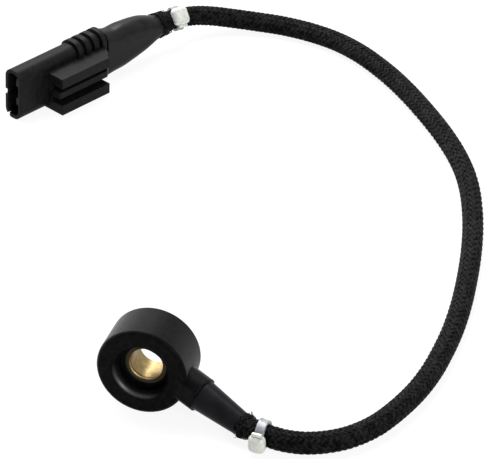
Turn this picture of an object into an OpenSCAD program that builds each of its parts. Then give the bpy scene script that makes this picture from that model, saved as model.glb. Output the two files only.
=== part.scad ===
// Engine knock sensor: a bolted ring with a moulded neck, a braided cable
// and a two-pin connector with a tapered boot.
// The bore runs along Y, with its contact face at y = 0 and the recessed
// face towards -Y. The ring stands on its rim, and the cable lies on the
// same surface.

/* [Sensor ring] */
// Plastic round the sensing stack, out to the ring's rim
ring_wall = 2.2; // [1.9:0.1:3.6]
// Radius of the moulded ring's rounded edge on the recessed side
ring_edge_r = 1; // [0.5:0.1:1.4]
// Radius of the moulded ring's rounded edge on the contact side
ring_back_r = 0.4; // [0.3:0.1:0.8]
// Depth of the recess round the bolt head
recess_depth = 3.9; // [3:0.1:5]
// Diameter of the recess at its mouth
recess_d = 14.4; // [14.2:0.1:15.4]
// Diameter of the recess at its floor
recess_floor_d = 13.6; // [13:0.1:14]
// Width of the recess mouth's eased edge
recess_lip = 0.5; // [0.3:0.1:0.8]
// Height that the contact flange stands proud of the plastic
flange_proud = 0.2; // [0.1:0.1:0.4]

/* [Pressure sleeve and sensing stack] */
// Diameter of the bore, clear round an M8 bolt
bore_d = 8.4; // [8.2:0.1:8.6]
// Wall of the sleeve round the bore
sleeve_wall = 1; // [0.8:0.1:1.4]
// Chamfer of the bore at its recessed end
bore_chamfer = 0.4; // [0.2:0.1:0.6]
// Distance that the contact flange stands out past the insulating discs
flange_over = 0.4; // [0.1:0.1:0.5]
// Thickness of the contact flange
flange_t = 1.5; // [1.2:0.1:2]
// Clearance between the sleeve and the discs threaded over it
stack_gap = 0.2; // [0.1:0.05:0.3]
// Distance that the insulating discs stand out past the contact discs
insulator_over = 0.4; // [0.1:0.1:0.5]
// Thickness of each insulating disc
insulator_t = 0.25; // [0.15:0.05:0.4]
// Distance that the contact discs stand out past the piezoelectric ring
contact_over = 0.3; // [0.1:0.1:0.4]
// Thickness of each contact disc
contact_t = 0.25; // [0.2:0.05:0.4]
// Radial width of the piezoelectric ring
piezo_w = 3.1; // [2.4:0.1:3.2]
// Thickness of the piezoelectric ring
piezo_t = 1.4; // [1:0.1:1.8]
// Distance that the seismic mass stands out past the insulating discs
mass_over = 0.1; // [0.1:0.1:0.3]
// Thickness of the seismic mass under the spring
mass_base_t = 1.2; // [0.8:0.1:1.6]
// Height of the seismic mass's outer collar above its base
mass_collar_h = 2.6; // [1:0.2:3.2]
// Radial width of the seismic mass's outer collar
mass_collar_w = 1.3; // [0.8:0.1:1.5]
// Height of the conical spring washer
spring_h = 0.5; // [0.4:0.1:0.8]
// Clearance between the conical spring washer and the mass's collar
spring_gap = 0.7; // [0.5:0.1:1]
// Thickness of the threaded ring that clamps the stack
nut_t = 1.4; // [1:0.1:2]
// Clearance between the threaded ring and the mass's collar
nut_gap = 0.5; // [0.3:0.1:1]
// Plastic over the threaded ring, up to the recess floor
nut_cover_t = 1.2; // [0.9:0.1:1.6]

/* [Neck] */
// Angle that the neck slopes down from level, about the bore axis
neck_drop = 17; // [14:1:18]
// Angle that the neck leans away from the contact face
neck_lean = 20; // [16:1:22]
// Distance of the neck's axis from the contact face, at the bore axis
neck_root = 4.5; // [4:0.1:4.8]
// Distance from the bore axis to the end of the moulded boss
boss_reach = 17.2; // [16:0.2:18.5]
// Diameter of the moulded boss
boss_d = 9; // [8.8:0.1:9.2]
// Width of the flat that is cut along each side of the boss
boss_flat_w = 7.8; // [7.4:0.1:8.4]
// Distance from the bore axis to the free end of the cable sleeve
neck_reach = 29; // [27:0.5:31]
// Diameter of the cable sleeve where it leaves the boss
neck_d = 8; // [7.4:0.1:8.4]
// Diameter of the cable sleeve at its free end
neck_end_d = 5.9; // [5.8:0.1:6.4]
// Diameter of the cable sleeve's root inside the boss
neck_root_d = 6.2; // [5.6:0.1:6.6]
// Length of the cable sleeve's root inside the boss
neck_root_len = 3.4; // [2.4:0.2:4]

/* [Cable] */
// Outside diameter of the braided cable
cable_d = 5.7; // [5.4:0.1:5.8]
// Diameter of each insulated core
core_d = 1.3; // [1:0.1:1.5]
// Distance of each core from the cable's axis
core_offset = 1; // [0.9:0.05:1.2]
// Width of the solder tab on each contact disc
tab_w = 1.4; // [1:0.1:1.6]
// Thickness of the upright leg of each solder tab
tab_leg_t = 0.6; // [0.4:0.1:0.8]
// Clearance of the plastic round each solder tab
tab_gap = 0.03; // [0.02:0.01:0.06]

/* [Cable ties] */
// Width of the tie strap
strap_w = 2.5; // [2:0.1:3]
// Thickness of the tie strap
strap_t = 0.8; // [0.6:0.1:1]
// How far the tightened strap presses into the braid
strap_bite = 0.1; // [0.05:0.05:0.2]
// Length of the tie head, round the cable
head_len = 4.4; // [4:0.1:4.6]
// Width of the tie head, along the cable
head_w = 4.2; // [3.8:0.1:4.6]
// Height of the tie head off the cable
head_h = 3; // [2.6:0.1:3.4]
// Angle that each tie has been pulled askew
tie_skew = 12; // [0:2:14]
// Length of strap left standing out of the head
tail_len = 0.8; // [0.6:0.2:2.4]

/* [Connector] */
// Height of the connector body
body_h = 15; // [14.6:0.1:15.4]
// Thickness of the connector body
body_t = 6; // [5.8:0.1:6.4]
// Corner radius of the connector body
body_corner_r = 2.6; // [2:0.1:2.8]
// Wall of the open shroud
shroud_wall = 1; // [0.8:0.1:1.1]
// Depth of the open shroud
shroud_depth = 8; // [7:0.5:9]
// Length of the shroud in front of the rail block
shroud_len = 10.3; // [9.8:0.1:11]
// Width of the keyway through the shroud's far wall
keyway_w = 1.7; // [1.2:0.1:2.4]
// Length of the keyway
keyway_len = 6; // [4:0.5:7]
// Length of the rail block
rail_len = 18; // [16.4:0.2:18.4]
// Distance that the rail block stands out from the body
rail_out = 5.8; // [5:0.1:6.6]
// Height of the rail block's lower edge above the body's lower edge
rail_lift = 0.3; // [0.3:0.05:0.6]
// Thickness of the rail block's lower flange
lower_flange_t = 3; // [2.4:0.1:3.2]
// Thickness of the rail block's upper flange
upper_flange_t = 2.9; // [2.4:0.1:3.2]
// Height of each mounting slot
slot_h = 1.7; // [1.4:0.1:2]
// Thickness of the tongue between the two slots
tongue_t = 1.9; // [1.5:0.1:2.2]
// Depth of the mounting slots
slot_depth = 4.2; // [3.4:0.1:4.6]
// Distance that the tongue is set back from the flanges
tongue_setback = 0.9; // [0.5:0.1:1.5]
// Length of the body from the mouth to the boot
body_len = 33; // [33:0.5:35]
// Distance from the mouth to the finger grip
grip_start = 21; // [20.8:0.1:21.1]
// Number of ribs on the finger grip
rib_count = 4; // [3:1:4]
// Distance from one grip rib to the next
rib_pitch = 3; // [2.7:0.1:3]
// Width of each grip rib
rib_w = 1.6; // [1.2:0.1:1.9]
// Height of each grip rib above the body
rib_h = 0.7; // [0.4:0.1:1]
// Depth of the pocket that the grip sits in
grip_depth = 0.4; // [0.2:0.1:0.6]
// Height of the grip, down from the top of the body
grip_h = 5; // [4:0.2:6.4]

/* [Terminals and lock] */
// Height between the two pins
pin_pitch = 5.8; // [5:0.1:6.2]
// Height of each pin's blade
pin_w = 2.2; // [1.5:0.1:2.4]
// Thickness of each pin's blade
pin_t = 0.8; // [0.6:0.1:1]
// Distance of the pin tips inside the mouth
pin_tip_inset = 1.6; // [1:0.1:2.5]
// Distance from the mouth to the front of the crimp barrels
crimp_start = 14; // [13:0.5:15]
// Length of the crimp barrels
crimp_len = 5; // [4:0.5:6]
// Outer diameter of the crimp barrels
crimp_d = 2.1; // [1.9:0.1:2.4]
// Thickness of the terminal lock plate
lock_t = 1.6; // [1:0.1:2]
// Clearance round the terminal lock plate
lock_gap = 0.1; // [0.05:0.05:0.2]

/* [Boot] */
// Thickness of the boot where it meets the body
boot_t = 7; // [6.8:0.1:7.4]
// Height of the boot where it meets the body
boot_h = 14.4; // [13.8:0.1:14.8]
// Length of the boot
boot_len = 21; // [20:0.5:22]
// Diameter of the boot at the cable end
boot_end_d = 6.5; // [6:0.1:6.8]
// Length of the boot's root inside the body
boot_root_len = 2; // [1.5:0.5:3]

/* [Connector's place] */
// Heading of the connector, from its mouth to its boot, seen from above
heading = 63.5; // [63:0.5:64]
// Angle that the connector leans towards its rail side
lean = 2; // [1:0.5:2]
// Distance along X from the bore to the mouth
mouth_x = -79.9; // [-80.5:0.1:-79.5]
// Distance along Y from the contact face to the mouth
mouth_y = 115.3; // [114.8:0.1:115.8]

/* [Hidden] */
$fn = 96;
// Small overlap that keeps cuts clean
eps = 0.05;
// Chamfer round the contact flange
flange_chamfer = 0.1;
// Thickness of the slices that the boot is lofted from
slice_t = 0.1;

// Radii, and the heights of the stack above the contact face
bore_r = bore_d / 2;
sleeve_r = bore_r + sleeve_wall;
stack_r = sleeve_r + stack_gap;
piezo_r = stack_r + piezo_w;
contact_r = piezo_r + contact_over;
insulator_r = contact_r + insulator_over;
flange_r = insulator_r + flange_over;
mass_r = insulator_r + mass_over;
collar_r = mass_r - mass_collar_w;
spring_r = collar_r - spring_gap;
nut_r = collar_r - nut_gap;
ring_r = mass_r + ring_wall;
z_lower_insulator = flange_t;
z_lower_contact = z_lower_insulator + insulator_t;
z_piezo = z_lower_contact + contact_t;
z_upper_contact = z_piezo + piezo_t;
z_upper_insulator = z_upper_contact + contact_t;
z_mass = z_upper_insulator + insulator_t;
z_spring = z_mass + mass_base_t;
z_nut = z_spring + spring_h;
sleeve_len = z_nut + nut_t + nut_cover_t;
ring_t = sleeve_len + recess_depth;
tab_r = mass_r + 1.2;
floor_z = -ring_r;

// The neck's direction, and the place where the cable leaves it
neck_dir = [cos(neck_lean) * cos(neck_drop), -sin(neck_lean), -cos(neck_lean) * sin(neck_drop)];
neck_end = [0, -neck_root, 0] + neck_reach * neck_dir;
lead_start = tab_r / cos(neck_lean) - tab_leg_t / 4;

// The connector's axis height, direction, and the place where the cable enters the boot
axis_z = floor_z + body_h / 2 * cos(lean);
conn_dir = [cos(heading), sin(heading), 0];
boot_reach = body_len + boot_len;
boot_end = [mouth_x, mouth_y, axis_z] + boot_reach * conn_dir;

// Route of the cable's centre line, from the neck to the boot
route = concat([neck_end], [
    [32.4, -16.9, -7.95],
    [37.6, -17.7, -8.3],
    [43, -16.8, -8.6],
    [48.5, -14.3, -8.6],
    [53.1, -10.3, -8.6],
    [57.2, -4, -8.6],
    [60.3, 4.6, -8.6],
    [62.4, 13.4, -8.6],
    [63.5, 22.4, -8.6],
    [63.8, 31.3, -8.6],
    [63.7, 40.3, -8.6],
    [63.1, 49.3, -8.6],
    [62.1, 58.3, -8.6],
    [60.8, 67.2, -8.6],
    [59.3, 76, -8.6],
    [57.5, 84.9, -8.6],
    [55.4, 93.6, -8.6],
    [52.9, 102.3, -8.6],
    [50, 110.8, -8.6],
    [46.5, 119, -8.6],
    [42.2, 127, -8.6],
    [37.4, 134.6, -8.6],
    [32.2, 141.9, -8.6],
    [26.7, 149, -8.6],
    [21, 155.9, -8.6],
    [14.9, 162.6, -8.6],
    [8.4, 168.8, -8.6],
    [1.4, 174.5, -8.6],
    [-6.3, 179.1, -8.6],
    [-14.8, 182.1, -8.6],
    [-23.6, 183.6, -8.6],
    [-32, 183.2, -8.3],
    [-38.5, 181.8, -7.6],
    [-43.8, 179.4, -6.5],
    [-48, 176, -5.4],
    [-51.9, 170.8, -4.4],
    [-54, 167, -4.1],
], [boot_end]);
route_last = len(route) - 1;
sensor_tie_at = 1;
connector_tie_at = route_last - 2;
sensor_tie_roll = 4;
connector_tie_roll = 216;

function unit(v) = v / norm(v);
function on_circle(angle) = [cos(angle), sin(angle)];
function arc(centre, r, from, to, steps = 8) =
    [for (i = [0:steps]) centre + r * on_circle(from + (to - from) * i / steps)];
function tangent(i) =
    i == 0 ? neck_dir :
    i == route_last ? -conn_dir :
    unit(unit(route[i + 1] - route[i]) + unit(route[i] - route[i - 1]));
function ring_points(i, r, sides) =
    let (t = tangent(i), side = unit(cross(t, [0, 0, 1])), up = cross(side, t))
    [for (k = [0:sides - 1])
        route[i] + r * (cos(360 * (k + 0.5) / sides) * side + sin(360 * (k + 0.5) / sides) * up)];

// Places its children with +Z along the bore, from the contact face to the recess
module on_bore() {
    rotate([90, 0, 0]) children();
}

// Places its children with +X along the neck's direction in the ring's plane
module on_bore_to_neck() {
    on_bore() rotate([0, 0, -neck_drop]) children();
}

// Places its children with +Z along the neck, from the bore axis outwards
module on_neck() {
    translate([0, -neck_root, 0])
        rotate([0, neck_drop, 0])
            rotate([0, 0, -neck_lean])
                rotate([0, 90, 0])
                    children();
}

// Places its children with +X from the mouth to the boot, and -Y on the rail side
module on_connector() {
    translate([mouth_x, mouth_y, axis_z])
        rotate([0, 0, heading])
            rotate([lean, 0, 0])
                children();
}

// Places its children with +X along the cable at one point of its route
module on_route(i, roll) {
    t = tangent(i);
    translate(route[i])
        rotate([0, -asin(t[2]), atan2(t[1], t[0])])
            rotate([roll, 0, 0])
                children();
}

// A flat ring between two heights
module washer(inner_r, outer_r, z0, height) {
    translate([0, 0, z0])
        difference() {
            cylinder(r = outer_r, h = height);
            translate([0, 0, -eps])
                cylinder(r = inner_r, h = height + 2 * eps);
        }
}

// A rectangle with round corners, centred
module rounded_rect(w, h, r) {
    square([w - 2 * r, h], center = true);
    square([w, h - 2 * r], center = true);
    for (sx = [-1, 1], sy = [-1, 1])
        translate([sx * (w / 2 - r), sy * (h / 2 - r)])
            circle(r = r);
}

// Extrudes a cross-section of the connector along its length
module along_connector(x0, length) {
    translate([x0, 0, 0])
        rotate([90, 0, 90])
            linear_extrude(height = length)
                children();
}

// A solder tab at one contact disc's height, which turns up into a leg beside one core
module solder_tab(z0, side, gap = 0) {
    leg_top = neck_root + tab_r * tan(neck_lean) + core_d / 2;
    translate([contact_r - 1, side * core_offset - tab_w / 2 - gap, z0 - gap])
        cube([tab_r + tab_leg_t / 2 + gap - contact_r + 1, tab_w + 2 * gap, contact_t + 2 * gap]);
    translate([tab_r - tab_leg_t / 2 - gap, side * core_offset - tab_w / 2 - gap, z0 - gap])
        cube([tab_leg_t + 2 * gap, tab_w + 2 * gap, leg_top - z0 + 2 * gap]);
}

// A contact disc with its solder tab
module contact_disc(z0, side) {
    washer(stack_r, contact_r, z0, contact_t);
    solder_tab(z0, side);
}

// One insulated core, from its solder leg to the end of the cable
module lead(side) {
    on_neck()
        translate([-side * core_offset, 0, lead_start])
            cylinder(d = core_d, h = neck_reach - lead_start);
}

// Outer form of everything that the ring is moulded round
module stack_form() {
    rotate_extrude()
        polygon([
            [0, -1],
            [flange_r, -1],
            [flange_r, flange_t],
            [insulator_r, flange_t],
            [insulator_r, z_lower_contact],
            [contact_r, z_lower_contact],
            [contact_r, z_piezo],
            [piezo_r, z_piezo],
            [piezo_r, z_upper_contact],
            [contact_r, z_upper_contact],
            [contact_r, z_upper_insulator],
            [insulator_r, z_upper_insulator],
            [insulator_r, z_mass],
            [mass_r, z_mass],
            [mass_r, z_spring + mass_collar_h],
            [collar_r, z_spring + mass_collar_h],
            [collar_r, z_spring],
            [spring_r, z_spring],
            [spring_r, z_nut],
            [nut_r, z_nut],
            [nut_r, z_nut + nut_t],
            [sleeve_r, z_nut + nut_t],
            [sleeve_r, ring_t + 1],
            [0, ring_t + 1],
        ]);
}

// Section of the recess round the bolt head, with its eased mouth
module recess_section() {
    polygon([
        [0, sleeve_len],
        [recess_floor_d / 2, sleeve_len],
        [recess_d / 2, ring_t - recess_lip],
        [recess_d / 2 + 0.3 * recess_lip, ring_t - 0.3 * recess_lip],
        [recess_d / 2 + recess_lip, ring_t],
        [recess_d / 2 + recess_lip, ring_t + 1],
        [0, ring_t + 1],
    ]);
}

// Moulded ring with its rounded edges, before the stack and the neck are cut
module ring_body() {
    rotate_extrude()
        polygon(concat(
            [[0, flange_proud]],
            arc([ring_r - ring_back_r, flange_proud + ring_back_r], ring_back_r, -90, 0),
            arc([ring_r - ring_edge_r, ring_t - ring_edge_r], ring_edge_r, 0, 90),
            [[0, ring_t]]
        ));
}

// Moulded boss that carries the cable sleeve, flattened on its two sides
module boss() {
    on_neck()
        intersection() {
            translate([0, 0, ring_r - 3])
                union() {
                    cylinder(d = boss_d, h = boss_reach - ring_r + 2.5);
                    cylinder(d = boss_d - 1, h = boss_reach - ring_r + 3);
                }
            translate([-boss_d / 2, -boss_flat_w / 2, 0])
                cube([boss_d, boss_flat_w, boss_reach + 1]);
        }
}

module sensor_housing() {
    color([0.09, 0.09, 0.1])
        difference() {
            union() {
                on_bore() ring_body();
                boss();
            }
            on_bore() {
                stack_form();
                rotate_extrude() recess_section();
            }
            on_bore_to_neck() {
                solder_tab(z_lower_contact, 1, tab_gap);
                solder_tab(z_upper_contact, -1, tab_gap);
            }
            on_neck()
                translate([0, 0, boss_reach - neck_root_len])
                    cylinder(d = neck_root_d, h = neck_root_len + 1);
            lead(1);
            lead(-1);
        }
}

module pressure_sleeve() {
    color([0.72, 0.6, 0.36])
        on_bore()
            rotate_extrude()
                polygon([
                    [bore_r, 0],
                    [flange_r - flange_chamfer, 0],
                    [flange_r, flange_chamfer],
                    [flange_r, flange_t],
                    [sleeve_r, flange_t],
                    [sleeve_r, sleeve_len],
                    [bore_r + bore_chamfer, sleeve_len],
                    [bore_r, sleeve_len - bore_chamfer],
                ]);
}

module lower_insulator() {
    color([0.85, 0.7, 0.4])
        on_bore() washer(stack_r, insulator_r, z_lower_insulator, insulator_t);
}

module lower_contact() {
    color([0.8, 0.66, 0.3])
        on_bore_to_neck() contact_disc(z_lower_contact, 1);
}

module piezo_ring() {
    color([0.87, 0.85, 0.78])
        on_bore() washer(stack_r, piezo_r, z_piezo, piezo_t);
}

module upper_contact() {
    color([0.8, 0.66, 0.3])
        on_bore_to_neck() contact_disc(z_upper_contact, -1);
}

module upper_insulator() {
    color([0.85, 0.7, 0.4])
        on_bore() washer(stack_r, insulator_r, z_upper_insulator, insulator_t);
}

module seismic_mass() {
    color([0.55, 0.56, 0.58])
        on_bore() {
            washer(stack_r, mass_r, z_mass, mass_base_t);
            washer(collar_r, mass_r, z_mass, mass_base_t + mass_collar_h);
        }
}

module spring_washer() {
    color([0.45, 0.46, 0.5])
        on_bore()
            rotate_extrude()
                polygon([
                    [stack_r, z_nut - spring_h / 2],
                    [spring_r - 0.4, z_spring],
                    [spring_r, z_spring],
                    [spring_r, z_spring + spring_h / 2],
                    [stack_r + 0.4, z_nut],
                    [stack_r, z_nut],
                ]);
}

module threaded_ring() {
    color([0.6, 0.6, 0.62])
        on_bore()
            difference() {
                washer(sleeve_r, nut_r, z_nut, nut_t);
                for (turn = [0:90:270])
                    rotate([0, 0, turn])
                        translate([nut_r - 0.7, -0.8, z_nut + nut_t - 0.7])
                            cube([1, 1.6, 1]);
            }
}

module ground_lead() {
    color([0.25, 0.2, 0.15]) lead(1);
}

module signal_lead() {
    color([0.75, 0.75, 0.72]) lead(-1);
}

// Tapered sleeve over the cable, seated in the boss
module cable_sleeve() {
    color([0.11, 0.11, 0.12])
        difference() {
            on_neck() {
                translate([0, 0, boss_reach - neck_root_len])
                    cylinder(d = neck_root_d, h = neck_root_len + eps);
                translate([0, 0, boss_reach])
                    cylinder(d1 = neck_d, d2 = neck_end_d, h = neck_reach - boss_reach);
            }
            lead(1);
            lead(-1);
        }
}

// The braided cable, swept along its route
module braided_cable(sides = 12) {
    points = [for (i = [0:route_last], p = ring_points(i, cable_d / 2, sides)) p];
    skin = [for (i = [0:route_last - 1], k = [0:sides - 1])
        [i * sides + k, (i + 1) * sides + k, (i + 1) * sides + (k + 1) % sides, i * sides + (k + 1) % sides]];
    first = [for (k = [0:sides - 1]) k];
    last = [for (k = [sides - 1:-1:0]) route_last * sides + k];
    color([0.12, 0.12, 0.12])
        polyhedron(points = points, faces = concat(skin, [first], [last]), convexity = 10);
}

// A cable tie pulled tight round the cable, with its head on the local -Y side
module cable_tie() {
    inner_r = cable_d / 2 - strap_bite;
    outer_r = inner_r + strap_t;
    difference() {
        rotate([0, 0, tie_skew])
            difference() {
                union() {
                    rotate([0, 90, 0])
                        cylinder(r = outer_r, h = strap_w, center = true);
                    translate([-head_w / 2, -inner_r - head_h, -head_len / 2])
                        cube([head_w, head_h, head_len]);
                    translate([-strap_w / 2, -inner_r - head_h / 2 - strap_t / 2, head_len / 2 - eps])
                        cube([strap_w, strap_t, tail_len]);
                }
                for (side = [-1, 1])
                    translate([side * head_w / 2, -inner_r - head_h, 0])
                        rotate([0, 0, 45])
                            cube([0.9, 0.9, head_len + 1], center = true);
            }
        rotate([0, 90, 0])
            cylinder(r = inner_r, h = head_w + 3, center = true);
    }
}

module sensor_end_tie() {
    color([0.86, 0.87, 0.85])
        on_route(sensor_tie_at, sensor_tie_roll) cable_tie();
}

module connector_end_tie() {
    color([0.86, 0.87, 0.85])
        on_route(connector_tie_at, connector_tie_roll) cable_tie();
}

// One blade pin with its crimp barrel, at a height above the connector's axis
module pin_form(z) {
    translate([pin_tip_inset, 0, z])
        rotate([0, 90, 0])
            linear_extrude(height = crimp_start - pin_tip_inset + 1)
                square([pin_w, pin_t], center = true);
    translate([crimp_start, 0, z])
        rotate([0, 90, 0])
            cylinder(d = crimp_d, h = crimp_len);
}

// One core, straight from its crimp to the end of the boot
module tail(side) {
    start = [crimp_start + 1.2, side * pin_pitch / 2];
    run = [boot_reach, side * core_offset] - start;
    intersection() {
        translate([start[0], 0, start[1]])
            rotate([0, 90 - atan2(run[1], run[0]), 0])
                cylinder(d = core_d, h = norm(run) + 1);
        translate([0, -body_t, -body_h])
            cube([boot_reach, 2 * body_t, 2 * body_h]);
    }
}

module crimped_pin(side) {
    difference() {
        pin_form(side * pin_pitch / 2);
        tail(side);
    }
}

// Section of the connector's solid body
module body_section(grow = 0) {
    rounded_rect(body_t + 2 * grow, body_h + 2 * grow, body_corner_r + grow);
}

// Rail block on the near side: two flanges with a set-back tongue between two slots
module rail_block() {
    bottom = -body_h / 2 + rail_lift;
    height = lower_flange_t + 2 * slot_h + tongue_t + upper_flange_t;
    near = -body_t / 2 - rail_out;
    difference() {
        translate([shroud_len, 0, bottom])
            linear_extrude(height = height)
                polygon([
                    [0, 0],
                    [0, near],
                    [rail_len, near],
                    [rail_len, near + rail_out * 0.75],
                    [rail_len + 1, near + rail_out],
                    [rail_len + 1, 0],
                ]);
        for (level = [0, slot_h + tongue_t])
            translate([shroud_len - 1, near - 1, bottom + lower_flange_t + level])
                cube([rail_len + 3, slot_depth + 1, slot_h]);
        translate([shroud_len - 1, near - 1, bottom + lower_flange_t + slot_h - eps])
            cube([rail_len + 3, tongue_setback + 1, tongue_t + 2 * eps]);
    }
}

// Web that carries the upper part of the rail block back into the body
module rail_web() {
    bottom = -body_h / 2 + rail_lift + lower_flange_t + slot_h;
    near = -body_t / 2 - rail_out;
    translate([shroud_len + rail_len - eps, 0, bottom])
        linear_extrude(height = tongue_t + slot_h + upper_flange_t)
            polygon([
                [0, 0],
                [0, near + tongue_setback],
                [1.5, near + 2],
                [body_len - shroud_len - rail_len - 1, -body_t / 2],
                [body_len - shroud_len - rail_len - 1, 0],
            ]);
}

// Ribbed finger grip over the top of the body, in its shallow pocket
module grip_ribs() {
    for (i = [0:rib_count - 1])
        along_connector(grip_start + 0.6 + i * rib_pitch, rib_w)
            intersection() {
                body_section(rib_h);
                translate([-body_t, body_h / 2 - grip_h + 0.6])
                    square([2 * body_t, grip_h + rib_h]);
            }
}

module grip_pocket() {
    along_connector(grip_start, rib_count * rib_pitch + 0.4)
        difference() {
            translate([-body_t, body_h / 2 - grip_h])
                square([2 * body_t, grip_h + 1]);
            body_section(-grip_depth);
        }
}

// Seat in the body for the boot's root
module boot_root(grow = 0) {
    along_connector(body_len - boot_root_len, boot_root_len + grow)
        rounded_rect(body_t - 2, body_h - 3, 1.6);
}

module connector_body() {
    color([0.1, 0.1, 0.11])
        on_connector()
            difference() {
                union() {
                    difference() {
                        along_connector(0, body_len) body_section();
                        grip_pocket();
                    }
                    grip_ribs();
                    rail_block();
                    rail_web();
                }
                along_connector(-1, shroud_depth + 1)
                    body_section(-shroud_wall);
                translate([-1, 0, -keyway_w / 2])
                    cube([keyway_len + 1, body_t, keyway_w]);
                translate([-1, body_t / 2 - 1.6, -body_h / 2 - 1])
                    cube([2.2, 0.9, 2.4]);
                boot_root(1);
                for (side = [-1, 1]) {
                    pin_form(side * pin_pitch / 2);
                    tail(side);
                }
            }
}

module terminal_lock() {
    color([0.1, 0.32, 0.24])
        on_connector()
            difference() {
                along_connector(shroud_depth - lock_t, lock_t)
                    rounded_rect(body_t - 2 * (shroud_wall + lock_gap), body_h - 2 * (shroud_wall + lock_gap),
                        body_corner_r - shroud_wall - lock_gap);
                for (side = [-1, 1])
                    pin_form(side * pin_pitch / 2);
            }
}

module ground_pin() {
    color([0.78, 0.76, 0.7])
        on_connector() crimped_pin(-1);
}

module signal_pin() {
    color([0.78, 0.76, 0.7])
        on_connector() crimped_pin(1);
}

module ground_tail() {
    color([0.25, 0.2, 0.15])
        on_connector() tail(-1);
}

module signal_tail() {
    color([0.75, 0.75, 0.72])
        on_connector() tail(1);
}

// A thin slice of the boot, for the loft between two of them
module boot_slice(at, t, h, r, lift = 0) {
    translate([body_len + at * (boot_len - slice_t), 0, lift])
        rotate([90, 0, 90])
            linear_extrude(height = slice_t)
                rounded_rect(t, h, r);
}

// The boot's slices: it dips behind the body, swells, and then tapers to its round end
module boot_station(i) {
    if (i == 0) boot_slice(0, boot_t, boot_h, 3, $fn = 32);
    if (i == 1) boot_slice(0.16, boot_t, boot_h - 1.2, 3.1, -0.3, $fn = 32);
    if (i == 2) boot_slice(0.34, boot_t, boot_h - 1, 3.2, -0.1, $fn = 32);
    if (i == 3) boot_slice(0.56, boot_t, boot_h - 2.2, 3.3, 0.1, $fn = 32);
    if (i == 4) boot_slice(0.74, boot_t, boot_h - 3.6, 3.3, 0.2, $fn = 32);
    if (i == 5) boot_slice(0.9, boot_end_d + 0.4, boot_end_d + 2, 3.3, 0.15, $fn = 32);
    if (i == 6) boot_slice(1, boot_end_d, boot_end_d, boot_end_d / 2 - eps / 5, $fn = 32);
}

// Soft boot that tapers from the body's section to the round cable
module connector_boot() {
    color([0.08, 0.08, 0.09])
        on_connector()
            difference() {
                union() {
                    boot_root();
                    for (i = [0:5])
                        hull() {
                            boot_station(i);
                            boot_station(i + 1);
                        }
                }
                tail(-1);
                tail(1);
            }
}

sensor_housing();
pressure_sleeve();
lower_insulator();
lower_contact();
piezo_ring();
upper_contact();
upper_insulator();
seismic_mass();
spring_washer();
threaded_ring();
ground_lead();
signal_lead();
cable_sleeve();
braided_cable();
sensor_end_tie();
connector_end_tie();
connector_boot();
connector_body();
ground_pin();
signal_pin();
terminal_lock();
ground_tail();
signal_tail();
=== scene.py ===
"""Engine knock sensor: a bolted ring, a braided cable held by two ties, and a two-pin connector.

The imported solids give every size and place. This script adds the braid with its cut ends, the moulded ties,
the smooth boot, and the finish of each piece, and lights them on a pale table.
"""

import logging
import math
from dataclasses import dataclass, field
from enum import Enum
from typing import Any, Optional, Sequence, Union

import bpy
import numpy as np
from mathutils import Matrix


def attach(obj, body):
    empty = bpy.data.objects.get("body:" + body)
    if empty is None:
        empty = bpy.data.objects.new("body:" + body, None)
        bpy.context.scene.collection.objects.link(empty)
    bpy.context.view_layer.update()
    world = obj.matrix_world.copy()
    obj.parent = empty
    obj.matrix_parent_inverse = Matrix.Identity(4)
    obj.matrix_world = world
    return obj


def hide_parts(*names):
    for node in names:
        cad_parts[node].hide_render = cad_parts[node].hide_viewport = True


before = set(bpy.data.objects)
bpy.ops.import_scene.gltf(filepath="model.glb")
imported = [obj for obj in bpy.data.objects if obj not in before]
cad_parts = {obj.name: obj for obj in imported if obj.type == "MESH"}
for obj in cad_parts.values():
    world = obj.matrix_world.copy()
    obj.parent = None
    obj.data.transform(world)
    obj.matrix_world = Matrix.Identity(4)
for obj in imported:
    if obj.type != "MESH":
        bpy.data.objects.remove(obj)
for spare in ("Cube", "Camera", "Light"):
    if spare in bpy.data.objects:
        bpy.data.objects.remove(bpy.data.objects[spare])
bpy.context.view_layer.update()

log = logging.getLogger("knock_sensor")
Colour = tuple[float, float, float]
Number = Union[int, float]

MM = 0.001
TAU = 2.0 * math.pi

# Places that the solids give, in millimetres
FLOOR_Z = -11.5
NECK_END = (26.061, -14.419, -7.973)
MOUTH = (-79.9, 115.3, -4.0046)
HEADING = 63.5
LEAN = 2.0
BODY_LEN = 33.0
BOOT_LEN = 21.0
BOOT_OVER = 1.8
ROUTE = (
    (32.4, -16.9, -7.95), (37.6, -17.7, -8.3), (43.0, -16.8, -8.6), (48.5, -14.3, -8.6), (53.1, -10.3, -8.6),
    (57.2, -4.0, -8.6), (60.3, 4.6, -8.6), (62.4, 13.4, -8.6), (63.5, 22.4, -8.6), (63.8, 31.3, -8.6),
    (63.7, 40.3, -8.6), (63.1, 49.3, -8.6), (62.1, 58.3, -8.6), (60.8, 67.2, -8.6), (59.3, 76.0, -8.6),
    (57.5, 84.9, -8.6), (55.4, 93.6, -8.6), (52.9, 102.3, -8.6), (50.0, 110.8, -8.6), (46.5, 119.0, -8.6),
    (42.2, 127.0, -8.6), (37.4, 134.6, -8.6), (32.2, 141.9, -8.6), (26.7, 149.0, -8.6), (21.0, 155.9, -8.6),
    (14.9, 162.6, -8.6), (8.4, 168.8, -8.6), (1.4, 174.5, -8.6), (-6.3, 179.1, -8.6), (-14.8, 182.1, -8.6),
    (-23.6, 183.6, -8.6), (-32.0, 183.2, -8.3), (-38.5, 181.8, -7.6), (-43.8, 179.4, -6.5),
    (-48.0, 176.0, -5.4), (-51.9, 170.8, -4.4), (-54.0, 167.0, -4.1),
)


def direction(heading_deg: float) -> np.ndarray:
    """The level unit vector at that heading, counted from +X towards +Y."""
    angle = math.radians(heading_deg)
    return np.array([math.cos(angle), math.sin(angle), 0.0])


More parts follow.
